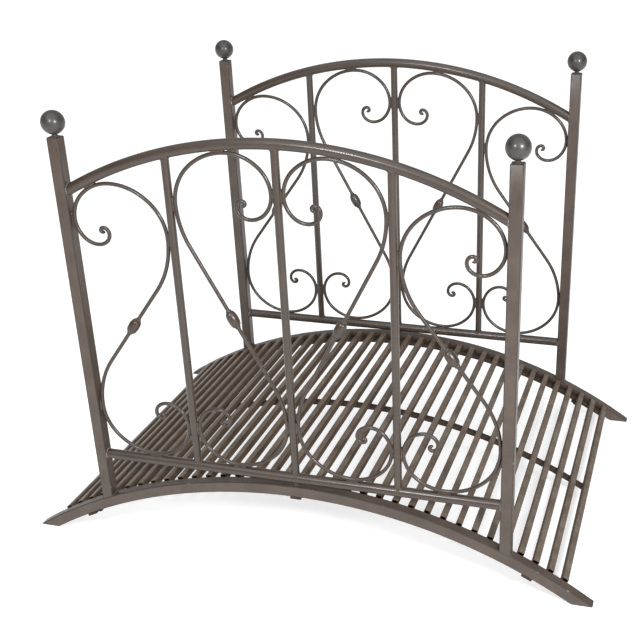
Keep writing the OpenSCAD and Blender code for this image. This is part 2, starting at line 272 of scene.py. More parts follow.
def piece_from_bmesh(name, shape, material, sharp_angle=40):
    """Closes a shape's seams, turns its faces outwards and makes it a smoothly shaded piece."""
    bmesh.ops.remove_doubles(shape, verts=shape.verts, dist=SEAM)
    bmesh.ops.recalc_face_normals(shape, faces=shape.faces)
    mesh = bpy.data.meshes.new(name)
    shape.to_mesh(mesh)
    shape.free()
    mesh.materials.append(material)
    mesh.shade_smooth()
    mesh.set_sharp_from_angle(angle=math.radians(sharp_angle))
    return new_piece(name, mesh)


def piece_from_lines(name, lines, tapers=None):
    """Makes a piece of bare edges, a chain for each line, with each point's share of a bar's thickness."""
    points = []
    edges = []
    for line, closed in lines:
        first = len(points)
        points.extend(line)
        edges.extend((first + i, first + i + 1) for i in range(len(line) - 1))
        if closed:
            edges.append((first + len(line) - 1, first))
    mesh = bpy.data.meshes.new(name)
    mesh.from_pydata(points, edges, [])
    taper = mesh.attributes.new("taper", "FLOAT", "POINT")
    taper.data.foreach_set("value", tapers or [1.0] * len(points))
    return new_piece(name, mesh)


def settle(piece, tree, inputs, sharp_angle=40):
    """Runs a geometry tree on a piece and keeps the result as the piece's plain mesh."""
    modifier = piece.modifiers.new(tree.name, "NODES")
    modifier.node_group = tree
    for item in tree.interface.items_tree:
        if item.item_type == "SOCKET" and item.in_out == "INPUT" and item.name in inputs:
            modifier[item.identifier] = inputs[item.name]
    depsgraph = bpy.context.evaluated_depsgraph_get()
    made = bpy.data.meshes.new_from_object(
        piece.evaluated_get(depsgraph), preserve_all_data_layers=True, depsgraph=depsgraph)
    piece.modifiers.remove(modifier)
    lines = piece.data
    piece.data = made
    bpy.data.meshes.remove(lines)
    if not made.polygons:
        raise RuntimeError(f"{piece.name} came out empty")
    made.shade_smooth()
    made.set_sharp_from_angle(angle=math.radians(sharp_angle))


def keep_piece(piece, slot, *nodes):
    """Ties a finished piece to the frame, in place of the CAD nodes that it stands for."""
    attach(piece, "root")
    if nodes:
        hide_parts(*nodes)


def ring_faces(shape, rings):
    """Joins rings of points into walls, and returns the rings' vertices."""
    loops = [[shape.verts.new(point) for point in ring] for ring in rings]
    for here, there in zip(loops, loops[1:]):
        for i in range(len(here)):
            j = (i + 1) % len(here)
            shape.faces.new((here[i], here[j], there[j], there[i]))
    return loops


def mark_corners(shape, loops):
    """Marks the rounded corners of square tube, so that the paint can darken along them."""
    layer = shape.verts.layers.float["corner"]
    # One weight for each point round a corner, from flat to flat
    weights = (0.0, 0.35, 0.85, 1.0, 0.85, 0.35, 0.0)
    for loop in loops:
        for i, vert in enumerate(loop):
            vert[layer] = weights[i % len(weights)]


def lathe(shape, profile, place, steps=48):
    """Turns a profile of (radius, height) points about the height axis and moves it into place."""
    rings = []
    for radius, height in profile:
        rings.append([
            place @ Vector((radius * math.cos(a), radius * math.sin(a), height))
            for a in (2 * math.pi * i / steps for i in range(steps))
        ])
    loops = ring_faces(shape, rings)
    for loop, (radius, _) in ((loops[0], profile[0]), (loops[-1], profile[-1])):
        if radius > SEAM:
            shape.faces.new(loop)


def rounded_rectangle(width, height, corner, steps=5, margin=0.0):
    """Points round a rectangle with rounded corners, and one more on the flats this far from each corner."""
    points = []
    for quarter, (x, y) in enumerate(((1, 1), (-1, 1), (-1, -1), (1, -1))):
        turned = Matrix.Rotation(math.pi / 2 * quarter, 2)
        shape = [(corner * math.cos(a), corner * math.sin(a))
                 for a in (math.pi / 2 * i / (steps - 1) for i in range(steps))]
        if margin:
            shape = [(corner, -margin)] + shape + [(-margin, corner)]
        for point in shape:
            u, v = turned @ Vector(point)
            points.append((x * (width / 2 - corner) + u, y * (height / 2 - corner) + v))
    return points


# The arch, the rails and the bays

def arch():
    """Radius of the stringers' top face and the height of its centre."""
    size = sizes()
    radius = ((size.length / 2) ** 2 + size.rise ** 2) / (2 * size.rise)
    return radius, size.rise - radius


def arch_point(radius, angle, y):
    return Vector((radius * math.sin(angle), y, arch()[1] + radius * math.cos(angle)))


def arch_turn(angle):
    """Turns a shape that is drawn over the arch's centre to its place along the arch."""
    return Matrix.Translation((0, 0, arch()[1])) @ Matrix.Rotation(angle, 4, "Y")


def arch_height(x):
    radius, centre = arch()
    return centre + math.sqrt(radius ** 2 - x ** 2)


def tip_angle():
    return math.asin(sizes().length / 2 / arch()[0])


def deck_angle():
    """Angle from the crown to the last slat."""
    return tip_angle() - sizes().deck_end_reach / arch()[0]


def slat_radius():
    size = sizes()
    return arch()[0] + size.slat_rise - size.slat_height / 2


def bearer_radius():
    size = sizes()
    return slat_radius() - size.slat_height / 2 - size.weld_gap - size.bearer_height / 2


def bearer_places():
    size = sizes()
    side = size.slat_length / 2 - size.bearer_width / 2
    return {"front_bearer": -side, "middle_bearer": 0.0, "back_bearer": side}


def bracket_angles():
    size = sizes()
    angle = math.asin(size.post_x / arch()[0]) + size.bracket_reach / arch()[0]
    return (-angle, 0.0, angle)


def post_face():
    """Distance of the posts' inner faces from the middle."""
    size = sizes()
    return size.post_x - size.tube / 2


def top_rail():
    """Radius of a top rail's axis and the height of its centre."""
    size = sizes()
    radius = (post_face() ** 2 + size.top_rail_rise ** 2) / (2 * size.top_rail_rise)
    return radius, size.top_rail_z - radius


def top_rail_height(x):
    radius, centre = top_rail()
    return centre + math.sqrt(radius ** 2 - x ** 2)


def bay_pitch():
    size = sizes()
    balusters = len(BAYS) - 1
    return (2 * post_face() - balusters * size.baluster) / len(BAYS) + size.baluster


def baluster_places():
    return (-bay_pitch(), 0.0, bay_pitch())


def loop_width():
    size = sizes()
    return bay_pitch() - size.baluster - size.rod - 2 * size.weld_gap


def eye_taper(eye_turn):
    """Share of the bar's thickness that is left this many eighth turns into the eye."""
    shape = bpy.context.scene.bridge_scrolls
    return 1 - (1 - shape.tip) * max(0.0, eye_turn) / shape.eye_turns


def loop_radii():
    """Radii of the eighth turns of a loop, from its crown into its eye."""
    shape = bpy.context.scene.bridge_scrolls
    width = loop_width()
    tightest = shape.eye_tight * sizes().rod / 2
    sine, rest = math.sin(EIGHTH), 1 - math.cos(EIGHTH)
    first = (1 - shape.first_crown * rest - shape.second_crown * sine) / (sine + shape.curl_shrink * rest)
    curl = [first * shape.curl_shrink ** i for i in range(shape.curl_turns)]
    eye = [max(width * curl[-1] * shape.eye_shrink ** (i + 1), tightest * eye_taper(i))
           for i in range(shape.eye_turns)]
    return [width * share for share in [shape.first_crown, shape.second_crown] + curl] + eye


def scroll_bottom():
    size = sizes()
    return size.bottom_rail_z + size.rail / 2 + size.weld_gap + size.rod / 2


def top_touch(number):
    """Where a scroll touches the top rail: its loop's radius and centre x there, and the rail's slope."""
    size = sizes()
    shape = bpy.context.scene.bridge_scrolls
    sine, rest = math.sin(EIGHTH), 1 - math.cos(EIGHTH)
    top_x = loop_width() * (shape.first_crown * rest + shape.second_crown * sine - 0.5)
    if number in (BAYS[0], BAYS[-1]):
        x, turn = 1.5 * bay_pitch() + top_x, loop_radii()[2]
    else:
        x, turn = 0.5 * bay_pitch() - top_x, loop_radii()[1]
    return turn, x, math.asin(x / (top_rail()[0] - size.rail / 2 - size.weld_gap - size.rod / 2 - turn))


def scroll_top(number):
    """Height of the top of a bay's scroll, where its loop touches the top rail."""
    turn, x, slope = top_touch(number)
    return top_rail()[1] + turn + x / math.tan(slope)


def scroll_half(number, steps=10):
    """Half a scroll drawn flat from its bead: its slope, points, tapers and the ends of its turns."""
    shape = bpy.context.scene.bridge_scrolls
    width = loop_width()
    height = scroll_top(number) - scroll_bottom()
    radii = loop_radii()
    loop_top = radii[0] * math.sin(EIGHTH) + radii[1] * (1 - math.cos(EIGHTH))
    rise = height / 2 - loop_top
    shoulder = min(width * shape.shoulder, shape.low_shoulder * (rise ** 2 + (width / 2) ** 2) / width)
    side = width / 2 - shoulder
    slope = math.acos(shoulder / math.hypot(side, rise)) - math.atan2(side, rise)
    straight = (width / 2 - shoulder * (1 - math.sin(slope))) / math.cos(slope)
    heading = slope
    x, z = straight * math.cos(slope), straight * math.sin(slope)
    points = [(x, z)]
    tapers = [1.0]
    turn_ends = []
    turns = [(shoulder, math.pi / 2 - slope)] + [(radius, EIGHTH) for radius in radii]
    for i, (radius, sweep) in enumerate(turns):
        for step in range(1, steps + 1):
            turned = heading + sweep * step / steps
            points.append((
                x + radius * (math.sin(turned) - math.sin(heading)),
                z + radius * (math.cos(heading) - math.cos(turned)),
            ))
            tapers.append(eye_taper(i + step / steps + shape.eye_turns - len(turns)))
        heading += sweep
        x, z = points[-1]
        turn_ends.append((x, z, heading))
    return slope, points, tapers, turn_ends


def scroll_touches(number):
    """Where a scroll touches its neighbours, drawn flat: each place with its direction outwards."""
    side, _, top, _, other_side = scroll_half(number)[3][:5]
    touches = []
    for x, z, heading in (side, other_side):
        out = Vector((math.sin(heading), -math.cos(heading)))
        touches += [(Vector((x, z)), out), (Vector((-x, -z)), -out)]
    touches.append((Vector((-top[0], -top[1])), Vector((0, -1))))
    # An outer loop touches the falling top rail past its top, an inner one before it
    turn, _, slope = top_touch(number)
    lean = -slope if number in (BAYS[0], BAYS[-1]) else slope
    out = Vector((math.sin(lean), math.cos(lean)))
    touches.append((Vector((top[0], top[1] - turn)) + turn * out, out))
    return touches


def bay_flip(number):
    """Every second scroll is mirrored."""
    return -1 if number % 2 == 0 else 1


def bay_place(number, side):
    """Moves a shape drawn flat into a bay of a railing, mirrored where the bay's scroll is."""
    centre_z = (scroll_bottom() + scroll_top(number)) / 2
    centre = Vector(((number - MIDDLE_BAY) * bay_pitch(), SIDES[side] * sizes().railing_y, centre_z))
    flip = bay_flip(number)
    return lambda x, z, y=0.0: centre + Vector((flip * x, y, z))


# Materials, with the sizes of the paint's patterns in millimetres

GRAIN_MM = 3
THIN_MM = 14
CHIP_MM = 18


def painted_steel(
        name, paint, cloud_mm, cloud_depth, roughness, shine, wear, coat=0.0, flake=0.0, side_shade=None):
    """Antique paint on mild steel: grey-brown clouds, brown where it is thin, fine grain and a satin shine.

    Wear is how much of the brown shows, coat how much clear gloss lies on top, and flake how much of the
    surface shows metal.
    """
    colours = finish_colours()
    material = bpy.data.materials.new(name)
    material.use_nodes = True
    tree = material.node_tree
    tree.nodes.clear()
    place = add_node(tree, "ShaderNodeTexCoord").outputs["Object"]
    # Clouds in the paint
    clouds = add_node(tree, "ShaderNodeTexNoise", {
        "Vector": place, "Scale": PER_METRE / cloud_mm, "Detail": 5.0, "Roughness": 0.6})
    cloud_range = add_node(tree, "ShaderNodeMapRange", {
        "Value": clouds.outputs[0], "From Min": 0.3, "From Max": 0.7, "To Min": 0.0, "To Max": 1.0})
    # Grain of the sprayed paint, coarser than the real one, so that it shows
    grain = add_node(tree, "ShaderNodeTexNoise", {
        "Vector": place, "Scale": PER_METRE / GRAIN_MM, "Detail": 3.0, "Roughness": 0.55})
    # Thin places where the brown under the paint shows
    thin = add_node(tree, "ShaderNodeTexNoise", {
        "Vector": place, "Scale": PER_METRE / THIN_MM, "Detail": 6.0, "Roughness": 0.7})
    thin_range = add_node(tree, "ShaderNodeMapRange", {
        "Value": thin.outputs[0], "From Min": 0.54, "From Max": 0.72, "To Min": 0.0, "To Max": wear})
    # The darker clouds are warmer than the paler ones
    dark = [channel * (1 - cloud_depth) * tint for channel, tint in zip(paint, (1.08, 0.97, 0.86))] + [1.0]
    pale = [channel * (1 + cloud_depth) * tint for channel, tint in zip(paint, (0.97, 1.0, 1.05))] + [1.0]
    # Most of the mottling is in the clouds, and the rest in the grain
    mottle = add_node(tree, "ShaderNodeMapRange", {
        "Value": grain.outputs[0], "From Min": 0.3, "From Max": 0.7, "To Min": -0.25, "To Max": 0.25})
    tone = add_node(tree, "ShaderNodeMath", {
        0: cloud_range.outputs[0], 1: mottle.outputs[0]}, operation="ADD", use_clamp=True)
    colour = add_node(tree, "ShaderNodeMix", {
        0: tone.outputs[0], 6: dark, 7: pale}, data_type="RGBA").outputs[2]
    if side_shade:
        # Painted shade: faces that don't look up get a darker brown, and they are duller
        facing = add_node(tree, "ShaderNodeSeparateXYZ", {
            0: add_node(tree, "ShaderNodeNewGeometry").outputs["Normal"]}).outputs["Z"]
        turned_down = add_node(tree, "ShaderNodeMapRange", {
            "Value": facing, "From Min": 0.78, "From Max": 0.5, "To Min": 0.0, "To Max": 1.0})
        colour = add_node(tree, "ShaderNodeMix", {
            0: turned_down.outputs[0], 6: colour, 7: side_shade}, data_type="RGBA").outputs[2]
    colour = add_node(tree, "ShaderNodeMix", {
        0: thin_range.outputs[0], 6: colour, 7: colours.brown}, data_type="RGBA").outputs[2]
    # Dark line along the corners of square tube, weaker in the darker clouds
    corner = add_node(tree, "ShaderNodeAttribute", attribute_name="corner")
    strength = add_node(tree, "ShaderNodeMapRange", {
        "Value": clouds.outputs[0], "From Min": 0.3, "From Max": 0.6, "To Min": 0.45, "To Max": 1.0})
    broken = add_node(tree, "ShaderNodeMath", {
        0: corner.outputs["Fac"], 1: strength.outputs[0]}, operation="MULTIPLY")
    colour = add_node(tree, "ShaderNodeMix", {
        0: broken.outputs[0], 6: colour, 7: colours.edge}, data_type="RGBA").outputs[2]
    # A few chips along those corners show pale steel
    chips = add_node(tree, "ShaderNodeTexNoise", {
        "Vector": place, "Scale": PER_METRE / CHIP_MM, "Detail": 4.0, "Roughness": 0.65})
    chip_range = add_node(tree, "ShaderNodeMapRange", {
        "Value": chips.outputs[0], "From Min": 0.66, "From Max": 0.72, "To Min": 0.0, "To Max": 0.55})
    chipped = add_node(tree, "ShaderNodeMath", {
        0: corner.outputs["Fac"], 1: chip_range.outputs[0]}, operation="MULTIPLY")
    colour = add_node(tree, "ShaderNodeMix", {
        0: chipped.outputs[0], 6: colour, 7: colours.chip}, data_type="RGBA").outputs[2]
    # The corners are duller than the flats, and the thin places duller than the full paint
    gloss = add_node(tree, "ShaderNodeMapRange", {
        "Value": thin.outputs[0], "From Min": 0.3, "From Max": 0.7,
        "To Min": roughness - 0.07, "To Max": roughness + 0.09})
    dull = add_node(tree, "ShaderNodeMath", {
        0: corner.outputs["Fac"], 1: 0.35, 2: gloss.outputs[0]}, operation="MULTIPLY_ADD")
    if side_shade:
        dull = add_node(tree, "ShaderNodeMath", {
            0: turned_down.outputs[0], 1: 0.45, 2: dull.outputs[0]}, operation="MULTIPLY_ADD")
    bump = add_node(tree, "ShaderNodeBump", {
        "Strength": 0.22, "Distance": 0.0004, "Height": grain.outputs[0]})
    shader = add_node(tree, "ShaderNodeBsdfPrincipled", {
        "Base Color": colour, "Metallic": flake, "Roughness": dull.outputs[0],
        "Specular IOR Level": shine, "Coat Weight": coat, "Coat Roughness": 0.24, "Normal": bump.outputs[0]})
    add_node(tree, "ShaderNodeOutputMaterial", {"Surface": shader.outputs[0]})
    return material


def frame_paint():
    """Posts and stringers: satin antique paint with broad clouds and brown thin spots."""
    return painted_steel(
        "antique_painted_square_tube", finish_colours().frame_paint,
        cloud_mm=60, cloud_depth=0.4, roughness=0.4, shine=0.75, wear=0.5)


def rail_paint():
    """Rails and balusters: smoother tube, so the tops carry a long pale highlight."""
    return painted_steel(
        "antique_painted_round_tube", finish_colours().rail_paint,
        cloud_mm=70, cloud_depth=0.3, roughness=0.45, shine=0.35, wear=0.4, coat=0.7)


def scroll_paint():
    """Scrolls and beads: forged bar with a darker, more broken paint."""
    return painted_steel(
        "antique_painted_forged_bar", finish_colours().scroll_paint,
        cloud_mm=40, cloud_depth=0.3, roughness=0.45, shine=0.35, wear=0.4, coat=0.6)


def ball_paint():
    """Balls: half-gloss paint that mirrors the softboxes as small round spots."""
    return painted_steel(
        "half_gloss_painted_ball", finish_colours().ball_paint,
        cloud_mm=25, cloud_depth=0.35, roughness=0.46, shine=0.5, wear=0.4, coat=0.5)


def under_paint():
    """Bearers and brackets: matt brown paint, darker than the frame's as painted shade under the deck."""
    return painted_steel(
        "dark_painted_under_deck", finish_colours().under_paint,
        cloud_mm=50, cloud_depth=0.2, roughness=0.6, shine=0.3, wear=0.5)


def weld_paint():
    """Most welds: the rails' paint over ripples, more broken than on the smooth tube."""
    return painted_steel(
        "painted_weld_bead", finish_colours().weld,
        cloud_mm=7, cloud_depth=0.5, roughness=0.4, shine=0.7, wear=0.5, coat=0.1, flake=0.2)


def bare_weld():
    """Welds of the rails' ends: thin paint, with silvery steel on the ripples' tops."""
    return painted_steel(
        "bright_weld_bead", finish_colours().bare_weld,
        cloud_mm=6, cloud_depth=0.7, roughness=0.32, shine=0.5, wear=0.6, coat=0.1, flake=0.6)


def deck_paint():
    """Slats: satin paint on the tops, and painted shade in a darker brown where the faces turn down, also
    duller.
    """
    colours = finish_colours()
    return painted_steel(
        "worn_painted_deck_tube", colours.deck_paint,
        cloud_mm=45, cloud_depth=0.45, roughness=0.4, shine=0.6, wear=0.5, side_shade=colours.deck_side_shade)


def hollow_shade_paint():
    """Inside of the slats: bare steel painted near black as shade, so the open ends read as black openings.
    """
    return painted_steel(
        "painted_shade_tube_inside", finish_colours().hollow,
        cloud_mm=20, cloud_depth=0.15, roughness=0.75, shine=0.2, wear=0.3)


def bolt_steel():
    """Bolts: darkened steel, duller than the paint."""
    return painted_steel(
        "darkened_steel_bolt", finish_colours().bolt,
        cloud_mm=8, cloud_depth=0.2, roughness=0.45, shine=0.5, wear=0.4, flake=0.7)


# Geometry trees

def new_tree(name, inputs):
    """Starts a geometry tree with its named inputs, and returns it with its input node."""
    tree = bpy.data.node_groups.new(name, "GeometryNodeTree")
    tree.interface.new_socket("Geometry", in_out="INPUT", socket_type="NodeSocketGeometry")
    for label, kind in inputs.items():
        tree.interface.new_socket(label, in_out="INPUT", socket_type=kind)
    tree.interface.new_socket("Geometry", in_out="OUTPUT", socket_type="NodeSocketGeometry")
    return tree, add_node(tree, "NodeGroupInput")


def end_tree(tree, shape, material):
    """Ends a tree in real faces that carry their material."""
    real = add_node(tree, "GeometryNodeRealizeInstances", {"Geometry": shape})
    painted = add_node(tree, "GeometryNodeSetMaterial", {"Geometry": real.outputs[0], "Material": material})
    add_node(tree, "NodeGroupOutput", {0: painted.outputs[0]})


def bar_tree():
    """Round bar along lines, drawn out thinner where they say so: scrolls, rails and balusters."""
    tree, given = new_tree("Round bar", {
        "Bar Radius": "NodeSocketFloat", "Bar Sides": "NodeSocketInt", "Material": "NodeSocketMaterial"})
    path = add_node(tree, "GeometryNodeMeshToCurve", {"Mesh": given.outputs["Geometry"]})
    taper = add_node(tree, "GeometryNodeInputNamedAttribute", {"Name": "taper"}, data_type="FLOAT")
    drawn_out = add_node(tree, "GeometryNodeSetCurveRadius", {
        "Curve": path.outputs[0], "Radius": taper.outputs[0]})
    round_section = add_node(tree, "GeometryNodeCurvePrimitiveCircle", {
        "Resolution": given.outputs["Bar Sides"], "Radius": given.outputs["Bar Radius"]})
    bar = add_node(tree, "GeometryNodeCurveToMesh", {
        "Curve": drawn_out.outputs[0], "Profile Curve": round_section.outputs[0], "Fill Caps": True})
    end_tree(tree, bar.outputs[0], given.outputs["Material"])
    return tree


def arch_row_tree():
    """Row of like pieces round the arch's axis: the deck slats."""
    tree, given = new_tree("Row on the arch", {
        "Count": "NodeSocketInt", "First Angle": "NodeSocketFloat", "Step Angle": "NodeSocketFloat",
        "Arch Centre": "NodeSocketFloat", "Material": "NodeSocketMaterial",
        "Inside Material": "NodeSocketMaterial"})
    centre = add_node(tree, "ShaderNodeCombineXYZ", {"Z": given.outputs["Arch Centre"]})
    points = add_node(tree, "GeometryNodePoints", {
        "Count": given.outputs["Count"], "Position": centre.outputs[0], "Radius": 0.001})
    index = add_node(tree, "GeometryNodeInputIndex")
    turned = add_node(tree, "ShaderNodeMath", {
        0: index.outputs[0], 1: given.outputs["Step Angle"], 2: given.outputs["First Angle"]},
        operation="MULTIPLY_ADD")
    turn = add_node(tree, "ShaderNodeCombineXYZ", {"Y": turned.outputs[0]})
    row = add_node(tree, "GeometryNodeInstanceOnPoints", {
        "Points": points.outputs[0], "Instance": given.outputs["Geometry"], "Rotation": turn.outputs[0]})
    real = add_node(tree, "GeometryNodeRealizeInstances", {"Geometry": row.outputs[0]})
    painted = add_node(tree, "GeometryNodeSetMaterial", {
        "Geometry": real.outputs[0], "Material": given.outputs["Material"]})
    inside = add_node(tree, "GeometryNodeInputNamedAttribute", {"Name": "inside"}, data_type="BOOLEAN")
    hollow = add_node(tree, "GeometryNodeSetMaterial", {
        "Geometry": painted.outputs[0], "Selection": inside.outputs[0],
        "Material": given.outputs["Inside Material"]})
    add_node(tree, "NodeGroupOutput", {0: hollow.outputs[0]})
    return tree


def weld_tree():
    """Rippled weld along lines: flattened lumps, each a little different, laid close together."""
    tree, given = new_tree("Weld ripples", {
        "Ripple Radius": "NodeSocketFloat", "Ripple Pitch": "NodeSocketFloat",
        "Ripple Sides": "NodeSocketInt", "Seed": "NodeSocketInt", "Material": "NodeSocketMaterial"})
    path = add_node(tree, "GeometryNodeMeshToCurve", {"Mesh": given.outputs["Geometry"]})
    stops = add_node(tree, "GeometryNodeResampleCurve", {
        "Curve": path.outputs[0], "Length": given.outputs["Ripple Pitch"]}, mode="LENGTH")
    lump = add_node(tree, "GeometryNodeMeshUVSphere", {
        "Segments": given.outputs["Ripple Sides"], "Rings": 5, "Radius": given.outputs["Ripple Radius"]})
    along = add_node(tree, "GeometryNodeInputTangent")
    aligned = add_node(tree, "FunctionNodeAlignRotationToVector", {"Vector": along.outputs[0]}, axis="Z")
    swell = add_node(tree, "FunctionNodeRandomValue", {
        "Min": (0.8, 0.8, 0.6), "Max": (1.2, 1.2, 0.95), "Seed": given.outputs["Seed"]},
        data_type="FLOAT_VECTOR")
    ripples = add_node(tree, "GeometryNodeInstanceOnPoints", {
        "Points": stops.outputs[0], "Instance": lump.outputs[0], "Rotation": aligned.outputs[0],
        "Scale": swell.outputs[0]})
    end_tree(tree, ripples.outputs[0], given.outputs["Material"])
    return tree


def bolt_tree():
    """Domed bolt heads on washers, one at each point, turned to the point's axis."""
    tree, given = new_tree("Bolts", {
        "Head Radius": "NodeSocketFloat", "Head Height": "NodeSocketFloat",
        "Washer Radius": "NodeSocketFloat", "Washer Height": "NodeSocketFloat",
        "Material": "NodeSocketMaterial"})
    washer = add_node(tree, "GeometryNodeMeshCylinder", {
        "Vertices": 24, "Radius": given.outputs["Washer Radius"], "Depth": given.outputs["Washer Height"]})
    head = add_node(tree, "GeometryNodeMeshUVSphere", {
        "Segments": 20, "Rings": 10, "Radius": given.outputs["Head Radius"]})
    share = add_node(tree, "ShaderNodeMath", {
        0: given.outputs["Head Height"], 1: given.outputs["Head Radius"]}, operation="DIVIDE")
    flat = add_node(tree, "ShaderNodeCombineXYZ", {"X": 1.0, "Y": 1.0, "Z": share.outputs[0]})
    dome = add_node(tree, "GeometryNodeTransform", {"Geometry": head.outputs[0], "Scale": flat.outputs[0]})
    bolt = add_node(tree, "GeometryNodeJoinGeometry")
    tree.links.new(washer.outputs[0], bolt.inputs[0])
    tree.links.new(dome.outputs[0], bolt.inputs[0])
    axis = add_node(tree, "GeometryNodeInputNamedAttribute", {"Name": "axis"}, data_type="FLOAT_VECTOR")
    aligned = add_node(tree, "FunctionNodeAlignRotationToVector", {"Vector": axis.outputs[0]}, axis="Z")
    points = add_node(tree, "GeometryNodeMeshToPoints", {"Mesh": given.outputs["Geometry"]})
    placed = add_node(tree, "GeometryNodeInstanceOnPoints", {
        "Points": points.outputs[0], "Instance": bolt.outputs[0], "Rotation": aligned.outputs[0]})
    end_tree(tree, placed.outputs[0], given.outputs["Material"])
    return tree


# Operators, one for each group of pieces

class BRIDGE_OT_stringers(bpy.types.Operator):
    """Bends the two square-tube stringers to the arch and cuts their ends level"""

    bl_idname = "bridge.stringers"
    bl_label = "Stringers"

    def execute(self, context):
        size = sizes()
        paint = frame_paint()
        section = rounded_rectangle(size.tube, size.tube, size.tube_corner, margin=size.corner_line)
        # Bent past the tips, so that there is tube left to cut level
        overrun = 1.2
        reach = tip_angle() * overrun
        steps = 180
        for side, sign in SIDES.items():
            shape = bmesh.new()
            shape.verts.layers.float.new("corner")
            rings = []
            for i in range(steps + 1):
                angle = reach * (2 * i / steps - 1)
                rings.append([
                    arch_point(arch()[0] - size.tube / 2 + v, angle, sign * size.railing_y + u)
                    for u, v in section])
            mark_corners(shape, ring_faces(shape, rings))
            cut = bmesh.ops.bisect_plane(
                shape, geom=shape.verts[:] + shape.edges[:] + shape.faces[:], dist=SEAM / 10,
                plane_co=(0, 0, 0), plane_no=(0, 0, 1), clear_inner=True)
            edges = [part for part in cut["geom_cut"] if isinstance(part, bmesh.types.BMEdge)]
            bmesh.ops.edgeloop_fill(shape, edges=edges)
            piece = piece_from_bmesh(f"{side}_stringer_tube", shape, paint)
            keep_piece(piece, "frame_steel", f"{side}_stringer")
        return {"FINISHED"}


class BRIDGE_OT_posts(bpy.types.Operator):
    """Stands the four posts on the stringers, with shaped feet and eased top edges"""

    bl_idname = "bridge.posts"
    bl_label = "Posts"

    def execute(self, context):
        size = sizes()
        paint = frame_paint()
        section = rounded_rectangle(size.tube, size.tube, size.tube_corner, margin=size.corner_line)
        ease = size.post_ease
        top_section = rounded_rectangle(
            size.tube - 2 * ease, size.tube - 2 * ease, size.tube_corner, margin=size.corner_line)
        steps = 8
        for side, sign in SIDES.items():
            shape = bmesh.new()
            shape.verts.layers.float.new("corner")
            for end in ENDS.values():
                x, y = end * size.post_x, sign * size.railing_y
                foot = [Vector((x + u, y + v, arch_height(x + u))) for u, v in section]
                rings = [foot]
                for step in range(1, steps + 1):
                    z = size.rise + (size.post_top - ease - size.rise) * step / steps
                    rings.append([Vector((x + u, y + v, z)) for u, v in section])
                # Half-way round the eased edge, which is full there
                rings.append([Vector((x + (u + t) / 2, y + (v + w) / 2, size.post_top - ease * 0.3))
                              for (u, v), (t, w) in zip(section, top_section)])
                rings.append([Vector((x + u, y + v, size.post_top)) for u, v in top_section])
                loops = ring_faces(shape, rings)
                mark_corners(shape, loops)
                shape.faces.new(loops[-1])
                shape.faces.new(loops[0])
            piece = piece_from_bmesh(f"{side}_posts", shape, paint, 50)
            keep_piece(piece, "frame_steel", f"{side}_left_post", f"{side}_right_post")
        return {"FINISHED"}


class BRIDGE_OT_finials(bpy.types.Operator):
    """Turns the balls with their filleted necks"""

    bl_idname = "bridge.finials"
    bl_label = "Finials"

    def execute(self, context):
        size = sizes()
        paint = ball_paint()
        ball, neck = size.ball / 2, size.neck / 2
        centre = size.ball_top - ball - size.post_top
        fillet = size.neck_fillet
        fillet_steps, ball_steps = 4, 40
        profile = [(0.0, 0.0)]
        for i in range(fillet_steps + 1):
            a = math.pi / 2 * i / fillet_steps
            profile.append((neck + fillet * (1 - math.sin(a)), fillet * (1 - math.cos(a))))
        start = math.acos(neck / ball)
        for i in range(ball_steps + 1):
            a = -start + (start + math.pi / 2) * i / ball_steps
            profile.append((ball * math.cos(a), centre + ball * math.sin(a)))
        profile[-1] = (0.0, centre + ball)
        for side, sign in SIDES.items():
            shape = bmesh.new()
            for end in ENDS.values():
                place = Matrix.Translation((end * size.post_x, sign * size.railing_y, size.post_top))
                lathe(shape, profile, place, 64)
            piece = piece_from_bmesh(f"{side}_ball_finials", shape, paint)
            keep_piece(piece, "finial_steel", f"{side}_left_finial", f"{side}_right_finial")
        return {"FINISHED"}


class BRIDGE_OT_rails(bpy.types.Operator):
    """Runs the arched top rails and level bottom rails into the posts"""

    bl_idname = "bridge.rails"
    bl_label = "Rails"

    def execute(self, context):
        size = sizes()
        paint = rail_paint()
        tree = bar_tree()
        radius, centre = top_rail()
        into_post = post_face() + size.tube * size.rail_tuck
        reach = math.asin(into_post / radius)
        upper_steps, lower_steps = 120, 12
        for side, sign in SIDES.items():
            y = sign * size.railing_y
            upper = [Vector((radius * math.sin(a), y, centre + radius * math.cos(a)))
                     for a in (reach * (2 * i / upper_steps - 1) for i in range(upper_steps + 1))]
            lower = [Vector((into_post * (2 * i / lower_steps - 1), y, size.bottom_rail_z))
                     for i in range(lower_steps + 1)]
            piece = piece_from_lines(f"{side}_rails", [(upper, False), (lower, False)])
            settle(piece, tree, {"Bar Radius": size.rail / 2, "Bar Sides": 40, "Material": paint})
            keep_piece(piece, "rail_steel", f"{side}_top_rail", f"{side}_bottom_rail")
        return {"FINISHED"}


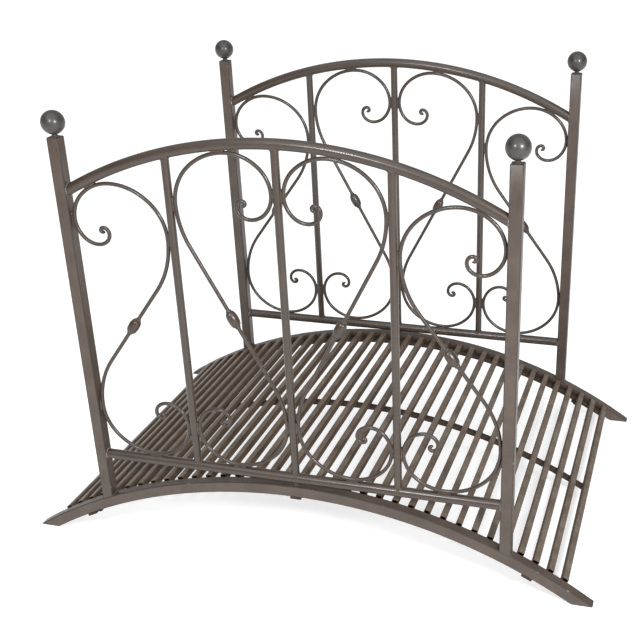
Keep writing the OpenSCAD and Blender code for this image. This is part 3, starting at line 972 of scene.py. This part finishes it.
class BRIDGE_OT_balusters(bpy.types.Operator):
    """Sets the balusters between the rails and the stub under each bottom rail"""

    bl_idname = "bridge.balusters"
    bl_label = "Balusters"

    def execute(self, context):
        size = sizes()
        paint = rail_paint()
        tree = bar_tree()
        steps = 10
        for side, sign in SIDES.items():
            y = sign * size.railing_y
            lines = []
            for x in baluster_places():
                height = top_rail_height(x) - size.bottom_rail_z
                lines.append(([Vector((x, y, size.bottom_rail_z + height * i / steps))
                               for i in range(steps + 1)], False))
            piece = piece_from_lines(f"{side}_balusters", lines)
            settle(piece, tree, {"Bar Radius": size.baluster / 2, "Bar Sides": 36, "Material": paint})
            names = (f"{side}_{name}_baluster" for name in ("left", "middle", "right"))
            keep_piece(piece, "rail_steel", *names)
            foot = Vector((0, y, size.rise - size.tube * size.stub_tuck))
            stub = piece_from_lines(f"{side}_stub", [([foot, Vector((0, y, size.bottom_rail_z))], False)])
            settle(stub, tree, {"Bar Radius": size.stub / 2, "Bar Sides": 28, "Material": paint})
            keep_piece(stub, "rail_steel", f"{side}_rail_stub")
        return {"FINISHED"}


class BRIDGE_OT_scrolls(bpy.types.Operator):
    """Bends the S scrolls of each bay from round bar"""

    bl_idname = "bridge.scrolls"
    bl_label = "Scrolls"

    def execute(self, context):
        size = sizes()
        paint = scroll_paint()
        tree = bar_tree()
        for side in SIDES:
            lines = []
            tapers = []
            for number in BAYS:
                place = bay_place(number, side)
                _, half, half_tapers, _ = scroll_half(number)
                flat = [(-x, -z) for x, z in reversed(half)] + half
                lines.append(([place(x, z) for x, z in flat], False))
                tapers += half_tapers[::-1] + half_tapers
            piece = piece_from_lines(f"{side}_scrolls", lines, tapers)
            settle(piece, tree, {"Bar Radius": size.rod / 2, "Bar Sides": 18, "Material": paint})
            keep_piece(piece, "scroll_steel", *(f"{side}_scroll_{number}" for number in BAYS))
        return {"FINISHED"}


class BRIDGE_OT_beads(bpy.types.Operator):
    """Turns the ovoid beads with their collars on the scrolls' diagonals"""

    bl_idname = "bridge.beads"
    bl_label = "Beads"

    def execute(self, context):
        size = sizes()
        paint = scroll_paint()
        bulge = (size.bead - size.collar) / 2
        ease = size.collar_ease
        end = size.bead_length / 2 + size.collar_length
        steps = 20
        half = []
        for i in range(steps + 1):
            a = math.pi / 2 * i / steps
            half.append((size.collar / 2 + bulge * math.cos(a), size.bead_length / 2 * math.sin(a)))
        # A shallow groove parts the bead from its collar
        half.append((size.collar / 2 - ease * 0.6, size.bead_length / 2 + ease * 0.4))
        half.append((size.collar / 2, size.bead_length / 2 + ease * 1.4))
        # The collar's outer edge is eased in two steps
        half.append((size.collar / 2, end - ease))
        half.append((size.collar / 2 - ease * 0.3, end - ease * 0.3))
        half.append((size.collar / 2 - ease, end))
        half.append((size.rod / 2 - ease, end))
        profile = [(radius, -z) for radius, z in reversed(half[1:])] + half
        for side in SIDES:
            shape = bmesh.new()
            for number in BAYS:
                slope = scroll_half(number)[0]
                lie = Matrix.Rotation(bay_flip(number) * (math.pi / 2 - slope), 4, "Y")
                lathe(shape, profile, Matrix.Translation(bay_place(number, side)(0, 0)) @ lie, 40)
            piece = piece_from_bmesh(f"{side}_scroll_beads", shape, paint, 35)
            keep_piece(piece, "scroll_steel", f"{side}_beads")
        return {"FINISHED"}


def tube_outlines(width, height, corner_steps):
    """Outer and inner outline of the tube of a slat or a bearer."""
    size = sizes()
    wall = size.slat_wall
    section = rounded_rectangle(width, height, size.slat_corner, corner_steps)
    bore = rounded_rectangle(
        width - 2 * wall, height - 2 * wall, size.slat_corner - BORE_SHARE * wall, corner_steps)
    return section, bore


def tube_mesh(shape, rings_out, rings_in):
    """Hollow tube with open ends, from rings of its outer and inner wall."""
    outer = ring_faces(shape, rings_out)
    inner = ring_faces(shape, [list(reversed(ring)) for ring in rings_in])
    for wall, bore in ((outer[0], inner[0]), (outer[-1], inner[-1])):
        bore = list(reversed(bore))
        for i in range(len(wall)):
            j = (i + 1) % len(wall)
            shape.faces.new((wall[i], wall[j], bore[j], bore[i]))


class BRIDGE_OT_deck_slats(bpy.types.Operator):
    """Lays the row of hollow slats on the arch"""

    bl_idname = "bridge.deck_slats"
    bl_label = "Deck slats"

    def execute(self, context):
        size = sizes()
        # Shares of the slat's length from its middle
        stops = (-0.5, -0.25, 0.0, 0.25, 0.5)
        shape = bmesh.new()
        tube_mesh(shape, *(
            [[Vector((u, size.slat_length * stop, slat_radius() + v)) for u, v in outline] for stop in stops]
            for outline in tube_outlines(size.slat_width, size.slat_height, 5)))
        bmesh.ops.recalc_face_normals(shape, faces=shape.faces)
        mesh = bpy.data.meshes.new("deck_slats")
        shape.to_mesh(mesh)
        shape.free()
        # Faces inside the bore, which get the near-black painted shade
        inside = mesh.attributes.new("inside", "BOOLEAN", "FACE")
        inner_x = size.slat_width / 2 - BORE_SHARE * size.slat_wall
        inner_z = size.slat_height / 2 - BORE_SHARE * size.slat_wall
        for face in mesh.polygons:
            inside.data[face.index].value = (
                abs(face.center.x) < inner_x and abs(face.center.z - slat_radius()) < inner_z)
        piece = new_piece("deck_slats", mesh)
        settle(piece, arch_row_tree(), {
            "Count": size.slat_count, "First Angle": -deck_angle(),
            "Step Angle": 2 * deck_angle() / (size.slat_count - 1), "Arch Centre": arch()[1],
            "Material": deck_paint(), "Inside Material": hollow_shade_paint()}, 50)
        keep_piece(piece, "deck_steel", *(f"deck_slats_{group}" for group in SLAT_GROUPS))
        return {"FINISHED"}


class BRIDGE_OT_bearers(bpy.types.Operator):
    """Bends the three hollow bearers under the slats"""

    bl_idname = "bridge.bearers"
    bl_label = "Bearers"

    def execute(self, context):
        size = sizes()
        paint = under_paint()
        outlines = tube_outlines(size.bearer_width, size.bearer_height, 4)
        steps = 110
        angles = [deck_angle() * (2 * i / steps - 1) for i in range(steps + 1)]
        shape = bmesh.new()
        for y in bearer_places().values():
            tube_mesh(shape, *(
                [[arch_point(bearer_radius() + v, a, y + u) for u, v in outline] for a in angles]
                for outline in outlines))
        piece = piece_from_bmesh("bearers", shape, paint, 50)
        keep_piece(piece, "under_deck_steel", *bearer_places())
        return {"FINISHED"}


class BRIDGE_OT_deck_brackets(bpy.types.Operator):
    """Hangs the deck from the stringers on angle brackets, with a bolt under each"""

    bl_idname = "bridge.deck_brackets"
    bl_label = "Deck brackets"

    def execute(self, context):
        size = sizes()
        paint = under_paint()
        inner_face = size.railing_y - size.tube / 2
        outer = inner_face + size.tube * size.bracket_cover
        inner = size.slat_length / 2 - size.bearer_width
        top = arch()[0] - size.tube - size.weld_gap
        upper = bearer_radius() - size.bearer_height / 2 - size.weld_gap
        outline = (
            (outer, top), (inner + size.bracket_thickness, top),
            (inner + size.bracket_thickness, upper), (inner, upper),
            (inner, top - size.bracket_thickness), (outer, top - size.bracket_thickness))
        heads = []
        for side, sign in SIDES.items():
            shape = bmesh.new()
            for angle in bracket_angles():
                turn = arch_turn(angle)
                loops = ring_faces(shape, [
                    [turn @ Vector((u, sign * y, z)) for y, z in outline]
                    for u in (-size.bracket_width / 2, size.bracket_width / 2)])
                shape.faces.new(loops[0])
                shape.faces.new(loops[1])
                heads.append((
                    turn @ Vector((0, sign * bearer_places()["back_bearer"], top - size.bracket_thickness)),
                    turn.to_3x3() @ Vector((0, 0, -1))))
            bmesh.ops.recalc_face_normals(shape, faces=shape.faces)
            bmesh.ops.bevel(
                shape, geom=shape.edges[:], offset=size.bracket_bevel, segments=2, affect="EDGES",
                profile=0.5)
            piece = piece_from_bmesh(f"{side}_deck_angle_brackets", shape, paint)
            keep_piece(piece, "under_deck_steel", f"{side}_deck_brackets")
        # One more bolt shows beside the bracket at the front left, under the stringer
        turn = arch_turn(bracket_angles()[0] + size.bracket_width / arch()[0])
        heads.append((
            turn @ Vector((0, -size.railing_y - size.tube / 4, arch()[0] - size.tube)),
            turn.to_3x3() @ Vector((0, 0, -1))))
        mesh = bpy.data.meshes.new("bracket_bolts")
        mesh.from_pydata([place for place, _ in heads], [], [])
        axis = mesh.attributes.new("axis", "FLOAT_VECTOR", "POINT")
        for i, (_, direction) in enumerate(heads):
            axis.data[i].vector = direction
        bolts = new_piece("bracket_bolts", mesh)
        settle(bolts, bolt_tree(), {
            "Head Radius": size.bolt_head, "Head Height": size.bolt_height, "Washer Radius": size.washer,
            "Washer Height": size.washer_height, "Material": bolt_steel()})
        keep_piece(bolts, "under_deck_steel")
        return {"FINISHED"}


def round_line(centre, across, up, steps=24):
    """Closed line round a bar: its centre and the two half axes of the ring."""
    angles = [2 * math.pi * i / steps for i in range(steps)]
    return [centre + across * math.cos(a) + up * math.sin(a) for a in angles]


def rail_end_weld_lines(side):
    """Lines of the welds round the rails' ends on the posts."""
    size = sizes()
    y = SIDES[side] * size.railing_y
    lines = []
    radius = top_rail()[0]
    for end in ENDS.values():
        x = end * post_face()
        stretch = radius / math.sqrt(radius ** 2 - x ** 2)
        for height, tall in ((top_rail_height(x), stretch), (size.bottom_rail_z, 1.0)):
            lines.append((round_line(
                Vector((x, y, height)), Vector((0, size.rail / 2, 0)),
                Vector((0, 0, tall * size.rail / 2))), True))
    return lines


def railing_weld_lines(side):
    """Lines of the other welds of one railing: posts, necks, balusters, stub and scrolls."""
    size = sizes()
    y = SIDES[side] * size.railing_y
    out = Vector((0, 1, 0))
    # Steps round the thin bars, the rails' bars and the stub's two ends
    thin_steps, bar_steps, foot_steps, head_steps = 12, 24, 14, 16
    lines = []
    for end in ENDS.values():
        # Post feet on the stringer, whose outer and inner faces are ground flush
        flat = size.tube / 2 - size.tube_corner
        for edge in (-size.tube / 2, size.tube / 2):
            x = end * size.post_x + edge
            lines.append(([Vector((x, y + v, arch_height(x))) for v in (-flat, 0.0, flat)], False))
        # Ball necks on the post tops, welded in two runs
        foot = Vector((end * size.post_x, y, size.post_top))
        for r in (size.neck / 2, size.neck / 2 + size.weld):
            lines.append((round_line(foot, out * r, Vector((r, 0, 0)), thin_steps), True))
    for x in baluster_places():
        # Balusters on both rails
        r = size.baluster / 2
        for upper in (False, True):
            ring = []
            for i in range(bar_steps):
                a = 2 * math.pi * i / bar_steps
                px, py = x + r * math.cos(a), r * math.sin(a)
                sag = math.sqrt((size.rail / 2) ** 2 - py ** 2)
                z = top_rail_height(px) - sag if upper else size.bottom_rail_z + sag
                ring.append(Vector((px, y + py, z)))
            lines.append((ring, True))
    # Stub on the stringer's crown and under the bottom rail
    r = size.stub / 2
    lines.append((round_line(Vector((0, y, size.rise)), out * r, Vector((r, 0, 0)), foot_steps), True))
    lines.append(([Vector((r * math.cos(a), y + r * math.sin(a),
                           size.bottom_rail_z - math.sqrt((size.rail / 2) ** 2 - (r * math.sin(a)) ** 2)))
                   for a in (2 * math.pi * i / head_steps for i in range(head_steps))], True))
    # Scrolls where they touch the rails, posts and balusters, on both faces
    for number in BAYS:
        place = bay_place(number, side)
        slope = scroll_half(number)[0]
        along = place(math.cos(slope), math.sin(slope)) - place(0, 0)
        across = along.cross(out)
        for end in ENDS.values():
            lines.append((round_line(
                place(0, 0) + along * end * (size.bead_length / 2 + size.collar_length),
                out * size.rod / 2, across * size.rod / 2, thin_steps), True))
        for touch, outwards in scroll_touches(number):
            beside = Vector((-outwards.y, outwards.x))
            for face in (-size.scroll_weld_offset, size.scroll_weld_offset):
                lines.append(([
                    place(*(touch + outwards * size.rod / 2 + beside * run), face)
                    for run in (-size.scroll_weld, 0.0, size.scroll_weld)], False))
    return lines


def deck_weld_lines():
    """Lines of the short welds between each slat and the bearers."""
    size = sizes()
    lines = []
    lift = slat_radius() - size.slat_height / 2
    for i in range(size.slat_count):
        angle = deck_angle() * (2 * i / (size.slat_count - 1) - 1)
        turn = arch_turn(angle)
        for y in bearer_places().values():
            for edge in (-1, 1):
                # The bearers end under the last slats, whose outer edges stay free
                if i in (0, size.slat_count - 1) and edge * angle > 0:
                    continue
                lines.append(([
                    turn @ Vector((edge * size.slat_width / 2, y + run, lift))
                    for run in (-size.deck_weld, 0.0, size.deck_weld)], False))
    return lines


class BRIDGE_OT_welds(bpy.types.Operator):
    """Lays the rippled welds along the joints"""

    bl_idname = "bridge.welds"
    bl_label = "Welds"

    def execute(self, context):
        size = sizes()
        tree = weld_tree()
        for side in SIDES:
            for name, lines, paint in (
                    ("railing", railing_weld_lines(side), weld_paint()),
                    ("rail_end", rail_end_weld_lines(side), bare_weld())):
                piece = piece_from_lines(f"{side}_{name}_welds", lines)
                settle(piece, tree, {
                    "Ripple Radius": size.weld, "Ripple Pitch": size.weld_pitch, "Ripple Sides": 8, "Seed": 7,
                    "Material": paint}, 70)
                keep_piece(piece, "rail_steel")
        # The deck's welds are hidden underneath, so they get fewer and plainer ripples
        wider = 1.3
        piece = piece_from_lines("deck_welds", deck_weld_lines())
        settle(piece, tree, {
            "Ripple Radius": size.weld, "Ripple Pitch": size.weld_pitch * wider, "Ripple Sides": 6,
            "Seed": 11, "Material": under_paint()}, 70)
        keep_piece(piece, "under_deck_steel")
        return {"FINISHED"}


class BRIDGE_OT_stage(bpy.types.Operator):
    """Sets the floor, the softboxes, the overhead and surrounding light and the camera"""

    bl_idname = "bridge.stage"
    bl_label = "Stage"

    def execute(self, context):
        stage = context.scene.bridge_stage
        self.lay_floor(stage)
        self.light(context, stage)
        self.aim_camera(context, stage)
        return {"FINISHED"}

    def lay_floor(self, stage):
        # Round, so that its far edge is level from every side
        reach, steps = 30.0, 96
        mesh = bpy.data.meshes.new("floor")
        rim = round_line(Vector((0, 0, 0)), Vector((reach, 0, 0)), Vector((0, reach, 0)), steps)
        mesh.from_pydata(rim, [], [range(len(rim))])
        material = bpy.data.materials.new("pale_studio_floor")
        material.use_nodes = True
        tree = material.node_tree
        tree.nodes.clear()
        shader = add_node(tree, "ShaderNodeBsdfPrincipled", {
            "Base Color": stage.floor, "Roughness": 0.9, "Emission Color": (1.0, 1.0, 1.0, 1.0),
            "Emission Strength": stage.floor_glow})
        add_node(tree, "ShaderNodeOutputMaterial", {"Surface": shader.outputs[0]})
        mesh.materials.append(material)
        new_piece("floor", mesh)

    def light(self, context, stage):
        world = bpy.data.worlds.new("studio")
        world.use_nodes = True
        tree = world.node_tree
        tree.nodes.clear()
        # Pale far walls, a paler backdrop behind the bridge, and a dim room that brightens overhead
        direction = add_node(tree, "ShaderNodeTexCoord").outputs["Generated"]
        parts = add_node(tree, "ShaderNodeSeparateXYZ", {0: direction}).outputs
        lift = add_node(tree, "ShaderNodeMapRange", {
            "Value": parts["Z"], "From Min": 0.35, "From Max": 0.8, "To Min": 0.0, "To Max": 1.0})
        colour = add_node(tree, "ShaderNodeMix", {
            0: lift.outputs[0], 6: stage.horizon, 7: stage.zenith}, data_type="RGBA")
        far_wall = add_node(tree, "ShaderNodeMapRange", {
            "Value": parts["Z"], "From Min": 0.35, "From Max": 0.1, "To Min": 0.0, "To Max": 1.0})
        colour = add_node(tree, "ShaderNodeMix", {
            0: far_wall.outputs[0], 6: colour.outputs[2], 7: stage.walls}, data_type="RGBA")
        behind = add_node(tree, "ShaderNodeMapRange", {
            "Value": parts["Y"], "From Min": 0.25, "From Max": 0.6, "To Min": 0.0, "To Max": 1.0})
        colour = add_node(tree, "ShaderNodeMix", {
            0: behind.outputs[0], 6: colour.outputs[2], 7: stage.backdrop}, data_type="RGBA")
        around = add_node(tree, "ShaderNodeBackground", {
            "Color": colour.outputs[2], "Strength": stage.surround})
        add_node(tree, "ShaderNodeOutputWorld", {"Surface": around.outputs[0]})
        context.scene.world = world
        # Power, width and place of each softbox, and the faintly blue white of their light
        softboxes = {
            "left_softbox": (stage.left_power, 0.3, (-0.35, -2.45, 1.9)),
            "right_softbox": (stage.right_power, 0.5, (2.2, -2.4, 1.9))}
        softbox_white = (0.95, 0.97, 1.0)
        aim = Vector((0, 0, 0.5))
        for name, (power, width, place) in softboxes.items():
            light = bpy.data.lights.new(name, "AREA")
            light.shape = "DISK"
            light.size = width
            light.energy = power
            light.color = softbox_white
            self.hang(context, name, light, Vector(place), aim)
        overhead = bpy.data.lights.new("overhead", "SUN")
        overhead.energy = stage.top_strength
        overhead.angle = math.radians(80)
        overhead.color = (0.94, 0.97, 1.0)
        self.hang(context, "overhead", overhead, Vector((0.3, -1.2, 2.4)), Vector((0, 0, 0)))
        context.scene.view_settings.view_transform = "Standard"

    def hang(self, context, name, light, place, target):
        lamp = bpy.data.objects.new(name, light)
        lamp.location = place
        lamp.rotation_euler = (target - place).to_track_quat("-Z", "Y").to_euler()
        context.scene.collection.objects.link(lamp)

    def aim_camera(self, context, stage):
        camera = bpy.data.cameras.new("camera")
        camera.sensor_width = 36.0
        camera.lens = stage.lens
        camera.clip_end = 100.0
        # Place, turn and shift were solved from the photo's posts, balls, rails and stringer tips
        camera.shift_x = -0.1371
        camera.shift_y = 0.0747
        place = Vector((0.7612, -2.2695, 1.435))
        right = Vector((0.9658, 0.2589, -0.0134))
        up = Vector((-0.1013, 0.4244, 0.8998))
        turn = Matrix((right, up, right.cross(up))).transposed()
        eye = bpy.data.objects.new("camera", camera)
        eye.matrix_world = Matrix.Translation(place) @ turn.to_4x4()
        context.scene.collection.objects.link(eye)
        context.scene.camera = eye


class BRIDGE_PT_pieces(bpy.types.Panel):
    """Lists the bridge's sizes, colours and pieces."""

    bl_idname = "BRIDGE_PT_pieces"
    bl_label = "Garden bridge"
    bl_space_type = "VIEW_3D"
    bl_region_type = "UI"
    bl_category = "Bridge"

    def draw(self, context):
        for operator in OPERATORS:
            self.layout.operator(operator.bl_idname)
        for group in (context.scene.bridge_sizes, context.scene.bridge_scrolls,
                      context.scene.bridge_finish, context.scene.bridge_stage):
            box = self.layout.box()
            for name in group.__annotations__:
                box.prop(group, name)


OPERATORS = (
    BRIDGE_OT_stringers, BRIDGE_OT_posts, BRIDGE_OT_finials, BRIDGE_OT_rails, BRIDGE_OT_balusters,
    BRIDGE_OT_scrolls, BRIDGE_OT_beads, BRIDGE_OT_deck_slats, BRIDGE_OT_bearers, BRIDGE_OT_deck_brackets,
    BRIDGE_OT_welds, BRIDGE_OT_stage,
)
GROUPS = {
    "bridge_sizes": BridgeSizes, "bridge_scrolls": ScrollShape,
    "bridge_finish": BridgeFinish, "bridge_stage": BridgeStage,
}


def register():
    for group in GROUPS.values():
        bpy.utils.register_class(group)
    for name, group in GROUPS.items():
        setattr(bpy.types.Scene, name, bpy.props.PointerProperty(type=group))
    for operator in OPERATORS:
        bpy.utils.register_class(operator)
    bpy.utils.register_class(BRIDGE_PT_pieces)


def unregister():
    bpy.utils.unregister_class(BRIDGE_PT_pieces)
    for operator in reversed(OPERATORS):
        bpy.utils.unregister_class(operator)
    for name, group in reversed(GROUPS.items()):
        delattr(bpy.types.Scene, name)
        bpy.utils.unregister_class(group)


def main():
    register()
    bpy.ops.bridge.stringers()
    bpy.ops.bridge.posts()
    bpy.ops.bridge.finials()
    bpy.ops.bridge.rails()
    bpy.ops.bridge.balusters()
    bpy.ops.bridge.scrolls()
    bpy.ops.bridge.beads()
    bpy.ops.bridge.deck_slats()
    bpy.ops.bridge.bearers()
    bpy.ops.bridge.deck_brackets()
    bpy.ops.bridge.welds()
    bpy.ops.bridge.stage()


if __name__ == "__main__":
    main()
